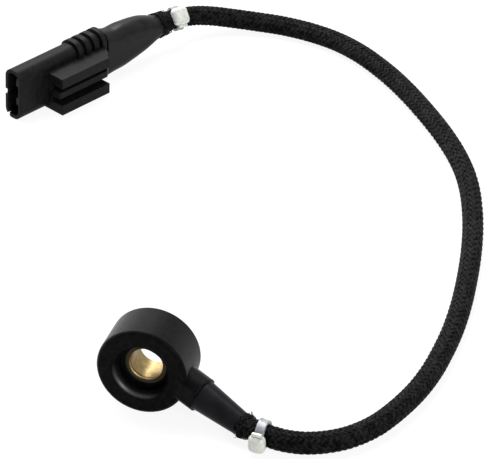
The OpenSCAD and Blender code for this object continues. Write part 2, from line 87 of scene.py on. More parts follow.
def boot_end() -> np.ndarray:
    """The point where the cable enters the boot, in millimetres."""
    return np.array(MOUTH) + (BODY_LEN + BOOT_LEN) * direction(HEADING)


class Signal:
    """A number that varies over a surface, whose arithmetic adds Math nodes."""

    def __init__(self, bench: "Bench", socket: bpy.types.NodeSocket) -> None:
        """Keeps the bench that the nodes are added to, and the socket that carries the number."""
        self.bench = bench
        self.socket = socket

    def maths(self, operation: str, *others: "Source") -> "Signal":
        """Adds one Math node with this signal as its first operand."""
        return self.bench.maths(operation, self, *others)

    def __add__(self, other: "Source") -> "Signal":
        """Sum."""
        return self.maths("ADD", other)

    __radd__ = __add__

    def __sub__(self, other: "Source") -> "Signal":
        """Difference."""
        return self.maths("SUBTRACT", other)

    def __rsub__(self, other: Number) -> "Signal":
        """Difference from a number."""
        return self.bench.maths("SUBTRACT", other, self)

    def __mul__(self, other: "Source") -> "Signal":
        """Product."""
        return self.maths("MULTIPLY", other)

    __rmul__ = __mul__

    def __pow__(self, other: Number) -> "Signal":
        """Power."""
        return self.maths("POWER", other)

    def ridge(self) -> "Signal":
        """A triangle wave: 0 at whole numbers and 1 half way between them."""
        return 1.0 - (2.0 * self.maths("FRACT") - 1.0).maths("ABSOLUTE")

    def over(self, low: Number, high: Number) -> "Signal":
        """A smooth step from 0 at low to 1 at high."""
        made = self.bench.node("ShaderNodeMapRange", {"interpolation_type": "SMOOTHSTEP"},
                               {"Value": self, "From Min": low, "From Max": high})
        return Signal(self.bench, made.outputs["Result"])


Source = Union[Signal, Number]


class Bench:
    """The node tree of one material, and the one way that nodes are put into it."""

    def __init__(self, name: str) -> None:
        """Starts an empty material."""
        self.material = bpy.data.materials.new(name)
        self.material.use_nodes = True
        self.tree = self.material.node_tree
        self.tree.nodes.clear()

    def node(self, kind: str, settings: Optional[dict[str, Any]] = None,
             inputs: Optional[dict[Union[str, int], Any]] = None) -> bpy.types.Node:
        """Adds a node.

        Args:
            kind: the node's type.
            settings: its properties, set first; "stops" are a ramp's places and colours.
            inputs: its sockets by name or number, each a signal, a socket or a value.

        Returns:
            The new node.
        """
        made = self.tree.nodes.new(kind)
        for key, value in (settings or {}).items():
            if key == "stops":
                ramp = made.color_ramp
                while len(ramp.elements) < len(value):
                    ramp.elements.new(0.5)
                for element, (place, colour) in zip(ramp.elements, value):
                    element.position = place
                    element.color = (*colour, 1.0)
            else:
                setattr(made, key, value)
        for key, value in (inputs or {}).items():
            if isinstance(value, Signal):
                self.tree.links.new(value.socket, made.inputs[key])
            elif isinstance(value, bpy.types.NodeSocket):
                self.tree.links.new(value, made.inputs[key])
            elif isinstance(value, tuple) and len(value) == 3 and made.inputs[key].type == "RGBA":
                made.inputs[key].default_value = (*value, 1.0)
            else:
                made.inputs[key].default_value = value
        return made

    def maths(self, operation: str, *operands: Source) -> Signal:
        """Adds one Math node.

        Args:
            operation: the Math node's operation.
            operands: its operands, as signals or numbers.

        Returns:
            The node's result.
        """
        made = self.node("ShaderNodeMath", {"operation": operation}, dict(enumerate(operands)))
        return Signal(self, made.outputs[0])

    def place(self) -> bpy.types.NodeSocket:
        """Object coordinates, in metres."""
        return self.node("ShaderNodeTexCoord").outputs["Object"]

    def axes(self) -> tuple[Signal, Signal, Signal]:
        """Object coordinates as three signals, in millimetres."""
        split = self.node("ShaderNodeSeparateXYZ", None, {0: self.place()})
        return tuple(Signal(self, split.outputs[i]) * (1.0 / MM) for i in range(3))

    def noise(self, size_mm: float, detail: float = 2.0, stretch: Colour = (1.0, 1.0, 1.0)) -> Signal:
        """Soft noise on Object coordinates.

        Args:
            size_mm: the size of its features.
            detail: how many finer layers it has.
            stretch: how much denser it is along each axis.

        Returns:
            The noise, about 0.5 on average.
        """
        scaled = self.node("ShaderNodeMapping", {"vector_type": "POINT"},
                           {"Vector": self.place(), "Scale": tuple(s / (size_mm * MM) for s in stretch)})
        made = self.node("ShaderNodeTexNoise", None,
                         {"Vector": scaled.outputs[0], "Scale": 1.0, "Detail": detail, "Roughness": 0.55})
        return Signal(self, made.outputs[0])

    def blend(self, share: Source, low: Any, high: Any) -> bpy.types.NodeSocket:
        """A colour between two colours."""
        made = self.node("ShaderNodeMix", {"data_type": "RGBA"}, {0: share, 6: low, 7: high})
        return made.outputs[2]

    def finish(self, colour: Any, roughness: Source, height: Optional[Signal] = None, height_mm: float = 0.02,
               fixed: Optional[dict[str, Any]] = None, edge_mm: float = 0.0) -> bpy.types.Material:
        """Closes the material with its shader.

        Args:
            colour: the base colour, a colour socket or a constant.
            roughness: a signal or a constant.
            height: the relief, from 0 to 1.
            height_mm: how far the relief stands out.
            fixed: other sockets of the shader and their constants.
            edge_mm: the radius that sharp edges are shaded with.

        Returns:
            The material.
        """
        inputs: dict[Union[str, int], Any] = {"Base Color": colour, "Roughness": roughness, **(fixed or {})}
        if edge_mm:
            inputs["Normal"] = self.node("ShaderNodeBevel", {"samples": 6}, {"Radius": edge_mm * MM}).outputs[0]
        if height is not None:
            relief = {"Strength": 1.0, "Distance": height_mm * MM, "Height": height}
            if edge_mm:
                relief["Normal"] = inputs["Normal"]
            inputs["Normal"] = self.node("ShaderNodeBump", None, relief).outputs[0]
        shader = self.node("ShaderNodeBsdfPrincipled", None, inputs)
        self.node("ShaderNodeOutputMaterial", None, {"Surface": shader.outputs[0]})
        return self.material


@dataclass(frozen=True)
class Finish:
    """A finish with a soft colour change, a fine grain and its own gloss.

    The colour goes between tone and worn with cloudy noise, the roughness varies with a finer one, and the
    relief is the finest noise.
    """

    name: str
    tone: Colour
    worn: Colour
    roughness: tuple[float, float] = (0.4, 0.55)
    metallic: float = 0.0
    specular: float = 0.5
    cloud_mm: float = 4.0
    grain_mm: float = 0.25
    relief_mm: float = 0.01
    coat: float = 0.0
    sheen: float = 0.0
    edge_mm: float = 0.0

    def fixed(self) -> dict[str, Any]:
        """The shader's constants."""
        return {"Metallic": self.metallic, "Specular IOR Level": self.specular, "Coat Weight": self.coat,
                "Coat Roughness": 0.25, "Sheen Weight": self.sheen, "Sheen Roughness": 0.33}

    def polish(self, bench: Bench) -> dict[str, Any]:
        """The shader's inputs that vary by place, besides colour, gloss and relief; none on a plain finish."""
        return {}

    def build(self) -> bpy.types.Material:
        """Makes the material."""
        bench = Bench(self.name)
        cloud = bench.noise(self.cloud_mm, 3.0).over(0.3, 0.7)
        grain = bench.noise(self.grain_mm, 2.0)
        low, high = self.roughness
        gloss = low + (high - low) * (0.6 * cloud + 0.4 * grain)
        return bench.finish(bench.blend(cloud, self.tone, self.worn), gloss, grain, self.relief_mm,
                            {**self.fixed(), **self.polish(bench)}, self.edge_mm)


@dataclass(frozen=True)
class SeatFinish(Finish):
    """Moulded plastic with a painted highlight: clear gloss between two radii where -X and -Z meet."""

    highlight_band_mm: tuple[float, float] = (6.2, 7.6)
    gloss: float = 0.5

    def fixed(self) -> dict[str, Any]:
        """The shader's constants, with a strong clear gloss."""
        return {**super().fixed(), "Coat IOR": 1.9, "Coat Roughness": 0.46}

    def polish(self, bench: Bench) -> dict[str, Any]:
        """How much of the clear gloss each place has: the painted highlight's band on the -X and -Z side."""
        x, y, z = bench.axes()
        out = (x * x + z * z) ** 0.5
        near, far = self.highlight_band_mm
        # Painted highlight: the gloss is kept to the side where the bright arc shows.
        highlight_side = ((x * 0.6 + z) * (-0.857 / near)).over(0.3, 1.05)
        band = out.over(near, near + 0.75) * (1.0 - out.over(far - 0.75, far))
        return {"Coat Weight": self.gloss * highlight_side * band}


@dataclass(frozen=True)
class TurnedFinish(Finish):
    """A metal turned on the bore's axis: fine rings that follow Y, over the clouded tone."""

    pitch_mm: float = 0.16

    def build(self) -> bpy.types.Material:
        """Makes the material."""
        bench = Bench(self.name)
        cloud = bench.noise(self.cloud_mm, 3.0).over(0.35, 0.65)
        streak = bench.noise(1.0, 2.0, (0.4, 1.0 / self.pitch_mm, 0.4))
        low, high = self.roughness
        gloss = low + (high - low) * streak
        return bench.finish(bench.blend(0.7 * cloud + 0.3 * streak, self.tone, self.worn), gloss, streak,
                            self.relief_mm, self.fixed())


@dataclass(frozen=True)
class SleeveFinish(TurnedFinish):
    """Turned brass, bright in the bore and on the contact face, and darker and rougher on the end face in the recess.

    A dark painted shade line, for the shadow of a machined edge, runs round the bore 7.3 mm from the contact face.
    """

    end_face_tone: Colour = (0.05, 0.043, 0.028)
    dark: Colour = (0.1, 0.066, 0.024)
    bright_to_mm: float = 4.3
    shade_line_mm: float = 7.3

    def build(self) -> bpy.types.Material:
        """Makes the material."""
        bench = Bench(self.name)
        x, y, z = bench.axes()
        face = ((x * x + z * z) ** 0.5).over(self.bright_to_mm, self.bright_to_mm + 0.12) * (y * -1.0).over(4.0, 5.0)
        cloud = bench.noise(self.cloud_mm, 3.0).over(0.3, 0.7)
        streak = bench.noise(1.0, 2.0, (0.4, 1.0 / self.pitch_mm, 0.4))
        low, high = self.roughness
        # Painted shade line round the bore.
        shade_line = (y + self.shade_line_mm).maths("ABSOLUTE").over(0.12, 0.32)
        wall = bench.blend(shade_line, self.dark, bench.blend(0.6 * cloud + 0.4 * streak, self.tone, self.worn))
        return bench.finish(bench.blend(face, wall, self.end_face_tone), low + (high - low) * streak + 0.2 * face, streak,
                            self.relief_mm, self.fixed())


@dataclass(frozen=True)
class BraidFinish(Finish):
    """Textured yarn: U runs along a strand in millimetres and V across it, where its yarns lie side by side."""

    yarns: int = 4

    def build(self) -> bpy.types.Material:
        """Makes the material."""
        bench = Bench(self.name)
        split = bench.node("ShaderNodeSeparateXYZ", None, {0: bench.node("ShaderNodeUVMap").outputs[0]})
        along, across = (Signal(bench, split.outputs[i]) for i in range(2))
        lines = (across * self.yarns + (bench.noise(0.9, 1.0) - 0.5) * 0.5).ridge().over(0.05, 0.75)
        twist = (along * 1.6 + across * 3.0).ridge()
        cloud = bench.noise(self.cloud_mm, 3.0).over(0.3, 0.7)
        fuzz = bench.noise(0.22, 3.0).over(0.35, 0.72)
        blotch = bench.noise(1.2, 1.0).over(0.36, 0.64)
        share = lines * (0.3 + 0.7 * fuzz) * (0.55 + 0.45 * cloud) * (0.75 + 0.25 * twist) * (0.12 + 0.88 * blotch)
        low, high = self.roughness
        return bench.finish(bench.blend(share, self.tone, self.worn), high - (high - low) * lines,
                            lines * 0.7 + twist * 0.1 + fuzz * 0.2, self.relief_mm, self.fixed())


@dataclass(frozen=True)
class NylonFinish(Finish):
    """Natural nylon: milky, a little see-through, with faint flow marks."""

    def fixed(self) -> dict[str, Any]:
        """The shader's constants, with light scattered under the surface."""
        return {**super().fixed(), "Subsurface Weight": 0.35, "Subsurface Scale": 0.0012,
                "Subsurface Radius": (1.0, 1.0, 0.9)}


PALETTE: dict[str, Finish] = {
    "sensor_housing": Finish("ring_plastic", (0.0006, 0.0006, 0.0008), (0.0028, 0.0028, 0.0032), (0.36, 0.5),
                             specular=0.02, sheen=0.34, cloud_mm=1.3, grain_mm=0.34, relief_mm=0.06, edge_mm=0.3),
    "seat_lip": SeatFinish("seat_plastic", (0.0008, 0.0008, 0.001), (0.0032, 0.0032, 0.0036), (0.36, 0.5),
                           specular=0.025, cloud_mm=1.3, grain_mm=0.32, relief_mm=0.02),
    "pressure_sleeve": SleeveFinish("turned_brass", (0.2, 0.14, 0.056), (0.36, 0.27, 0.13), (0.34, 0.56),
                                    metallic=1.0, cloud_mm=1.5, relief_mm=0.006),
    "cable_sleeve": Finish("sleeve_rubber", (0.0028, 0.0026, 0.0036), (0.0052, 0.0048, 0.0064), (0.3, 0.4),
                           specular=0.07, cloud_mm=5.0, grain_mm=0.2, relief_mm=0.004, edge_mm=0.3),
    "braid": BraidFinish("braid_yarn", (0.0005, 0.0005, 0.0006), (0.032, 0.032, 0.035), (0.48, 0.75),
                         specular=0.03, cloud_mm=7.0, relief_mm=0.05),
    "cable_core": Finish("cable_inside", (0.003, 0.003, 0.003), (0.006, 0.006, 0.006), (0.7, 0.9), specular=0.1),
    "loose_yarn": Finish("loose_yarn", (0.001, 0.001, 0.001), (0.011, 0.011, 0.0105), (0.5, 0.7),
                         specular=0.05, cloud_mm=0.9, grain_mm=0.1, relief_mm=0.01),
    "connector_boot": Finish("boot_rubber", (0.0032, 0.0034, 0.0034), (0.0052, 0.0055, 0.0054), (0.36, 0.46),
                             specular=0.11, cloud_mm=3.0, grain_mm=0.9, relief_mm=0.02, coat=0.015),
    "connector_body": Finish("connector_plastic", (0.0026, 0.0026, 0.003), (0.006, 0.006, 0.0066), (0.4, 0.55),
                             specular=0.07, cloud_mm=1.4, grain_mm=0.35, relief_mm=0.035, edge_mm=0.28),
    "terminal_lock": Finish("lock_plastic", (0.006, 0.05, 0.03), (0.01, 0.075, 0.048), (0.35, 0.5), edge_mm=0.2),
    "tie": NylonFinish("tie_nylon", (0.37, 0.385, 0.35), (0.46, 0.47, 0.43), (0.24, 0.38), cloud_mm=0.9,
                       grain_mm=0.5, relief_mm=0.03),
    # The band: the same nylon as the head, painted darker and bluer for the dark cable seen through it.
    "tie_band": NylonFinish("tie_band_nylon", (0.12, 0.123, 0.14), (0.2, 0.204, 0.225), (0.24, 0.38), cloud_mm=1.2,
                            grain_mm=0.4, relief_mm=0.03),
    # Tin plate painted near black, for the shade deep inside the connector's mouth.
    "pin": Finish("tinned_pin", (0.03, 0.036, 0.03), (0.055, 0.062, 0.05), (0.45, 0.6), metallic=1.0, cloud_mm=1.5),
    "ground_core": Finish("brown_core", (0.055, 0.03, 0.018), (0.08, 0.045, 0.028), (0.35, 0.5)),
    "signal_core": Finish("white_core", (0.55, 0.55, 0.52), (0.68, 0.68, 0.64), (0.35, 0.5)),
    "insulator": Finish("amber_film", (0.5, 0.24, 0.04), (0.6, 0.32, 0.07), (0.15, 0.25), cloud_mm=2.0),
    "contact": Finish("contact_brass", (0.66, 0.5, 0.24), (0.75, 0.6, 0.34), (0.22, 0.38), metallic=1.0),
    "piezo_ring": TurnedFinish("silvered_ceramic", (0.62, 0.61, 0.55), (0.76, 0.75, 0.7), (0.3, 0.5),
                               metallic=0.6, cloud_mm=2.0),
    "seismic_mass": TurnedFinish("turned_steel", (0.3, 0.3, 0.31), (0.42, 0.42, 0.43), (0.22, 0.4), metallic=1.0),
    "spring_washer": TurnedFinish("blued_spring", (0.1, 0.11, 0.15), (0.2, 0.2, 0.23), (0.25, 0.4), metallic=1.0),
    "threaded_ring": TurnedFinish("zinc_plate", (0.5, 0.51, 0.5), (0.62, 0.62, 0.58), (0.25, 0.42),
                                  metallic=1.0, pitch_mm=0.35),
}
NODE_FINISH = {
    "lower_insulator": "insulator", "upper_insulator": "insulator", "lower_contact": "contact",
    "upper_contact": "contact", "ground_lead": "ground_core", "ground_tail": "ground_core",
    "signal_lead": "signal_core", "signal_tail": "signal_core", "ground_pin": "pin", "signal_pin": "pin",
    "sensor_end_tie": "tie", "connector_end_tie": "tie", "braided_cable": "cable_core",
}


class PaintShop:
    """Makes each finish once and puts it on pieces."""

    def __init__(self) -> None:
        """Starts with no material made."""
        self.made: dict[str, bpy.types.Material] = {}

    def material(self, key: str) -> bpy.types.Material:
        """The material of one palette entry."""
        if key not in self.made:
            self.made[key] = PALETTE[key].build()
        return self.made[key]

    def coat(self, piece: bpy.types.Object, key: str) -> None:
        """Gives a piece one finish all over."""
        piece.data.materials.clear()
        piece.data.materials.append(self.material(key))


def surface(name: str, grid: np.ndarray, wrap: bool = True, caps: bool = True, loop: bool = False,
            uv: Optional[np.ndarray] = None) -> bpy.types.Object:
    """A mesh from one grid of points, or from many alike.

    Args:
        name: the piece's name.
        grid: points in millimetres, shaped rows by columns by 3, or sheets by rows by columns by 3.
        wrap: whether the last column joins the first.
        caps: whether the first and last rows are closed with one face each.
        loop: whether the last row joins the first.
        uv: one U and V for each grid corner, shaped as the grid with one column more.

    Returns:
        The object, in metres, with smooth faces.
    """
    grid = grid.reshape(-1, *grid.shape[-3:])
    sheets, rows, columns = grid.shape[:3]
    k, i, j = np.meshgrid(np.arange(sheets), np.arange(rows if loop else rows - 1),
                          np.arange(columns if wrap else columns - 1), indexing="ij")
    base, down, right = k * rows * columns, (i + 1) % rows, (j + 1) % columns
    quads = base[..., None] + np.stack([i * columns + j, down * columns + j, down * columns + right,
                                        i * columns + right], -1)
    corners, totals = quads.reshape(-1), np.full(i.size, 4)
    if caps and wrap and not loop:
        first = (np.arange(sheets) * rows * columns)[:, None] + np.arange(columns)
        last = first[:, ::-1] + (rows - 1) * columns
        corners = np.concatenate([corners, first.reshape(-1), last.reshape(-1)])
        totals = np.concatenate([totals, np.full(2 * sheets, columns)])
    mesh = bpy.data.meshes.new(name)
    mesh.vertices.add(sheets * rows * columns)
    mesh.vertices.foreach_set("co", (grid.reshape(-1) * MM).astype(np.float32))
    mesh.loops.add(len(corners))
    mesh.loops.foreach_set("vertex_index", corners.astype(np.int32))
    mesh.polygons.add(len(totals))
    mesh.polygons.foreach_set("loop_start", (np.cumsum(totals) - totals).astype(np.int32))
    mesh.polygons.foreach_set("loop_total", totals.astype(np.int32))
    mesh.polygons.foreach_set("use_smooth", np.arange(len(totals)) < i.size)
    if uv is not None:
        uv = uv.reshape(-1, *uv.shape[-3:])
        flat = np.zeros((len(corners), 2))
        flat[:quads.size] = np.stack([uv[k, i, j], uv[k, i + 1, j], uv[k, i + 1, j + 1], uv[k, i, j + 1]],
                                     3).reshape(-1, 2)
        mesh.uv_layers.new(name="run").data.foreach_set("uv", flat.astype(np.float32).reshape(-1))
    mesh.update(calc_edges=True)
    mesh.validate()
    piece = bpy.data.objects.new(name, mesh)
    bpy.context.scene.collection.objects.link(piece)
    return piece


def threads(lines: np.ndarray, radius: np.ndarray, columns: int = 5) -> np.ndarray:
    """Thin tubes round many centre lines.

    Args:
        lines: the lines' points, shaped lines by rows by 3.
        radius: the radius at each point, shaped lines by rows.
        columns: how many points go round each tube.

    Returns:
        centre + radius * (cos(angle) * side + sin(angle) * up) for each line, row and column.
    """
    tangent = unit(np.gradient(lines, axis=1))
    side = unit(np.cross(tangent, np.array([0.31, 0.17, 0.93])))
    up = np.cross(side, tangent)
    angle = np.linspace(0.0, TAU, columns, endpoint=False)[None, None, :, None]
    return lines[:, :, None] + radius[:, :, None, None] * (np.cos(angle) * side[:, :, None]
                                                           + np.sin(angle) * up[:, :, None])


def oblong(width: np.ndarray, height: np.ndarray, corner: np.ndarray, arc: int = 12, flat: int = 4) -> np.ndarray:
    """Rectangles with round corners, counterclockwise, with as many points each.

    Args:
        width: each rectangle's size along the first axis.
        height: its size along the second axis.
        corner: its corners' radius.
        arc: the steps of one corner.
        flat: the steps of one side between two corners.

    Returns:
        The points, shaped rectangles by points by 2.
    """
    turn = np.linspace(0.0, 0.25 * TAU, arc + 1)
    sides = []
    for quarter, (sign_x, sign_y) in enumerate(((1, 1), (-1, 1), (-1, -1), (1, -1))):
        angle = turn + 0.25 * TAU * quarter
        centre = np.stack([sign_x * (width / 2 - corner), sign_y * (height / 2 - corner)], -1)
        sides.append(centre[:, None] + corner[:, None, None] * np.stack([np.cos(angle), np.sin(angle)], -1))
    share = (np.arange(1, flat) / flat)[:, None]
    outline = []
    for quarter in range(4):
        end, start = sides[quarter][:, -1:], sides[(quarter + 1) % 4][:, :1]
        outline += [sides[quarter], end + (start - end) * share]
    return np.concatenate(outline, axis=1)


def joined(name: str, parts: Sequence[bpy.types.Object]) -> bpy.types.Object:
    """One object from several meshes, under the given name."""
    with bpy.context.temp_override(active_object=parts[0], selected_editable_objects=list(parts)):
        bpy.ops.object.join()
    parts[0].name = name
    parts[0].data.name = name
    return parts[0]


@dataclass
class CablePath:
    """The cable's smooth centre line through the route's points.

    Between two points the line is a cubic whose slopes at its ends are half the way from the point before to
    the point after.
    """

    samples: int = 24
    points: np.ndarray = field(init=False)
    lengths: np.ndarray = field(init=False)

    def __post_init__(self) -> None:
        """Works out the line and the length along it."""
        knots = np.array([NECK_END, *ROUTE, boot_end()])
        neck = unit(np.array(NECK_END) - np.array([0.0, -4.5, 0.0]))
        before = knots[0] - neck * np.linalg.norm(knots[1] - knots[0])
        after = knots[-1] - direction(HEADING) * np.linalg.norm(knots[-1] - knots[-2])
        padded = np.vstack([before, knots, after])
        a, b, c, d = padded[:-3], padded[1:-2], padded[2:-1], padded[3:]
        t = np.linspace(0.0, 1.0, self.samples, endpoint=False)[None, :, None]
        slope_b, slope_c = (c - a)[:, None] / 2, (d - b)[:, None] / 2
        b, c = b[:, None], c[:, None]
        line = ((2 * t**3 - 3 * t**2 + 1) * b + (t**3 - 2 * t**2 + t) * slope_b
                + (3 * t**2 - 2 * t**3) * c + (t**3 - t**2) * slope_c)
        self.points = np.vstack([line.reshape(-1, 3), knots[-1:]])
        self.lengths = np.concatenate([[0.0], np.cumsum(np.linalg.norm(np.diff(self.points, axis=0), axis=1))])

    @property
    def length(self) -> float:
        """The whole length, in millimetres."""
        return float(self.lengths[-1])

    def at(self, s: np.ndarray) -> np.ndarray:
        """Points at those lengths along the line; past its ends it goes on straight."""
        inside = np.clip(s, 0.0, self.length)
        here = np.stack([np.interp(inside, self.lengths, self.points[:, k]) for k in range(3)], -1)
        start, end = unit(self.points[1] - self.points[0]), unit(self.points[-1] - self.points[-2])
        return here + np.minimum(s, 0.0)[:, None] * start + np.maximum(s - self.length, 0.0)[:, None] * end

    def frames(self, s: np.ndarray) -> tuple[np.ndarray, np.ndarray, np.ndarray]:
        """Tangent, side and up at those lengths: the side is level, and the up completes them."""
        tangent = unit(self.at(s + 0.4) - self.at(s - 0.4))
        side = unit(np.cross(tangent, np.array([0.0, 0.0, 1.0])))
        return tangent, side, np.cross(side, tangent)

    def round_it(self, s: np.ndarray, angle: np.ndarray, radius: np.ndarray) -> np.ndarray:
        """Points round the line: centre(s) + radius * (cos(angle) * side + sin(angle) * up).

        Args:
            s: length along the line of each point.
            angle: its angle round the line.
            radius: its distance from the line.

        Returns:
            The points, with one more axis of 3 than the arrays' common shape.
        """
        s, angle, radius = np.broadcast_arrays(s, angle, radius)
        _, side, up = self.frames(s.reshape(-1))
        turn = angle.reshape(-1, 1)
        points = self.at(s.reshape(-1)) + radius.reshape(-1, 1) * (np.cos(turn) * side + np.sin(turn) * up)
        return points.reshape(*s.shape, 3)


def unit(v: np.ndarray) -> np.ndarray:
    """Vectors of length 1."""
    return v / np.linalg.norm(v, axis=-1, keepdims=True)


class Hand(Enum):
    """Which way a strand winds round the cable, as the sign of its angle."""

    RIGHT = 1
    LEFT = -1


@dataclass(frozen=True)
class CutEnd:
    """A cut end of the sleeving, whose strands open into loose yarns.

    The yarns leave the strands at places spread over reach, and each rises by its own lift. A tuft is a bundle
    that stands out further at one angle.
    """

    name: str
    at: float
    way: int
    reach: float
    lift: float
    length: tuple[float, float]
    tufts: tuple[tuple[float, float, float], ...]
    base: float = 0.0
    tip: float = 1000.0
    yarns: int = 130
    rows: int = 12
    seed: int = 3

    def lines(self, path: CablePath, radius: float) -> tuple[np.ndarray, np.ndarray]:
        """The yarns' centre lines and their tapering radius.

        Args:
            path: the cable's line.
            radius: the radius that the yarns leave from.

        Returns:
            Points shaped yarns by rows by 3, and radii shaped yarns by rows.
        """
        chance = np.random.default_rng(self.seed)
        share = np.linspace(0.0, 1.0, self.rows)[None, :]
        spread = chance.random((4, self.yarns, 1))
        drift = chance.normal(0.0, 1.0, (3, self.yarns, 1))
        angle = TAU * (np.arange(self.yarns)[:, None] / self.yarns) + 0.12 * drift[0]
        lift = self.lift * (0.2 + 1.2 * spread[0] ** 2)
        length = self.length[0] + (self.length[1] - self.length[0]) * spread[1]
        for turn, high, long in self.tufts:
            near = np.exp(-(((angle - math.radians(turn) + math.pi) % TAU - math.pi) / 0.22) ** 2)
            lift, length = lift + near * high * (0.5 + 0.5 * spread[2]), length + near * long
        start = self.at - self.way * self.reach * spread[3]
        s = start + self.way * length * share
        turn = angle + 0.28 * drift[1] * share**1.5 + 0.05 * np.sin(TAU * share + 6.0 * spread[2])
        past = np.clip(s - self.tip, 0.0, None) * (0.06 + 0.42 * np.sin(turn) ** 2)
        wave = 0.06 * np.sin(9.0 * share + 5.0 * spread[0]) * share
        out = radius + self.base + past + lift * share**1.7 + wave
        return path.round_it(s, turn, out), 0.115 * (1.0 - 0.55 * share) * (0.8 + 0.5 * spread[1])


@dataclass
class BraidedCable:
    """The cable: a dark core, a braid of two hands of strands over it, and the braid's two frayed ends.

    Run and turn are counted in strands. The strands of one hand are the lines where run + turn is a whole
    number and a half, and those of the other where run - turn is. A strand goes over two of the other hand and
    then under two, as a cosine of the count of the other hand's strands. Along the cable the sleeving is now
    pushed together and now drawn out, so run grows by 1 / pitch * (1 - stretch * cos(phase)) in each
    millimetre.
    """

    path: CablePath
    strands: int = 12
    pitch: float = 1.75
    stretch: float = 0.32
    stretch_from: float = 0.45
    cover: float = 0.97
    wave: float = 0.13
    middle_r: float = 2.58
    core_r: float = 2.42
    steps: int = 1080
    sensor_tie_s: float = 6.8
    connector_tie_back: float = 8.3
    cut_start: float = 0.6
    cut_past: float = 0.7

    @property
    def tip(self) -> float:
        """The length along the line at which the boot's tip stands."""
        return self.path.length - BOOT_OVER

    def sinks(self, s: np.ndarray) -> np.ndarray:
        """How far the braid is pulled in at those lengths, under the two ties."""
        seats = (self.sensor_tie_s, self.path.length - self.connector_tie_back)
        return sum(0.15 * np.exp(-((s - seat) / 2.3) ** 4) for seat in seats)

    def opens(self, s: np.ndarray, angle: np.ndarray) -> np.ndarray:
        """How far the braid swells towards its two cut ends, and up the boot's tall sides past its tip.

        Args:
            s: length along the line.
            angle: angle round it.

        Returns:
            What is added to the radius.
        """
        start = np.clip(1.0 - s / 3.6, 0.0, 1.3)
        end = np.clip(1.0 - (self.tip - s) / 5.0, 0.0, 1.0)
        past = np.clip(s - self.tip, 0.0, None)
        return 0.45 * start**2 + 0.82 * end**1.1 + past * (0.06 + 0.42 * np.sin(angle) ** 2)

    def run(self, s: np.ndarray) -> tuple[np.ndarray, np.ndarray]:
        """The strands passed up to those lengths, and the strands passed in a millimetre there."""
        wave = TAU / self.path.length
        phase = wave * s - TAU * self.stretch_from
        count = (s - self.stretch / wave * (np.sin(phase) - math.sin(-TAU * self.stretch_from))) / self.pitch
        return count, (1.0 - self.stretch * np.cos(phase)) / self.pitch

    def hand(self, hand: Hand, shop: PaintShop) -> bpy.types.Object:
        """One hand of strands, each a flat ribbon that waves over and under the other hand.

        Args:
            hand: which hand.
            shop: the shop that holds the finishes.

        Returns:
            The piece.
        """
        chance = np.random.default_rng(20 + hand.value)
        girth = TAU * (self.middle_r + 0.27)
        number = np.arange(self.strands)[:, None, None]
        ends = chance.uniform(-0.5, 0.5, (2, self.strands, 1, 1))
        share = np.linspace(0.0, 1.0, self.steps)[None, :, None]
        first = self.cut_start + ends[0]
        s = first + (self.tip + self.cut_past + ends[1] - first) * share
        across = np.array([-0.5, -0.3, 0.0, 0.3, 0.5, 0.0])[None, None, :]
        rise = np.array([-0.06, 0.06, 0.1, 0.06, -0.06, -0.1])[None, None, :]
        run, density = self.run(s)
        turn = hand.value * (number + 0.5 - run) / self.strands
        crossed = 2.0 * run - number - 0.5
        wave = (np.cos(TAU * (number - crossed) / 4.0) if hand is Hand.RIGHT
                else -np.cos(TAU * (crossed - number - 1.0) / 4.0))
        slope = density * girth / self.strands
        lean = 1.0 / np.hypot(1.0, slope)
        strand_w = self.cover / np.hypot(density, self.strands / girth)
        wander = 0.06 * np.sin(0.9 * s + 2.1 * number) + 0.05 * np.sin(0.37 * s + 4.3 * number)
        shift = strand_w * across + wander
        at, angle = s + shift * slope * lean, TAU * turn + hand.value * shift * lean / 2.85
        radius = self.middle_r + self.wave * wave + rise - self.sinks(s) + self.opens(at, angle)
        grid = self.path.round_it(at, angle, radius)
        if hand is Hand.LEFT:
            grid = grid[:, :, ::-1]
            across = across[:, :, ::-1]
        v = np.concatenate([across, across[:, :, :1]], axis=2) + 0.5
        uv = np.stack(np.broadcast_arrays(s, v), -1)
        piece = surface(f"braid_{hand.name.lower()}_hand", grid, uv=np.ascontiguousarray(uv))
        return self.dressed(piece, "braid", shop)

    def dressed(self, piece: bpy.types.Object, finish: str, shop: PaintShop) -> bpy.types.Object:
        """Puts a finish on a piece of the cable and holds it to the body."""
        shop.coat(piece, finish)
        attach(piece, "root")
        return piece

    def ends(self) -> tuple[CutEnd, CutEnd]:
        """The two cut ends."""
        return (CutEnd("sensor_fray", 1.4, -1, 1.3, 0.22, (0.7, 1.5), ((135.0, 1.1, 0.5), (-48.0, 0.6, 0.7)),
                       yarns=96, seed=5),
                CutEnd("connector_fray", self.tip - 0.6, 1, 2.6, 0.3, (0.9, 2.2),
                       ((100.0, 0.25, 0.2), (-70.0, 0.2, 0.2)), base=0.4, tip=self.tip, seed=8))

    def build(self, shop: PaintShop, riders: Sequence[bpy.types.Object]) -> None:
        """Makes the cable, with its core, its two hands of strands and its two frayed ends.

        Args:
            shop: the shop that holds the finishes.
            riders: the pieces already made that sit on the cable; not used.
        """
        s = np.linspace(0.0, self.path.length, 700)[:, None]
        angle = np.linspace(0.0, TAU, 32, endpoint=False)[None, :]
        core = surface("cable_inside", self.path.round_it(s, angle, self.core_r - self.sinks(s)))
        pieces = [self.hand(hand, shop) for hand in Hand]
        for end in self.ends():
            lines, radius = end.lines(self.path, self.middle_r + 0.4)
            pieces.append(self.dressed(surface(end.name, threads(lines, radius)), "loose_yarn", shop))
        self.dressed(core, "cable_core", shop)
        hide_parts("braided_cable")
        log.info("cable: %.1f mm long", self.path.length)


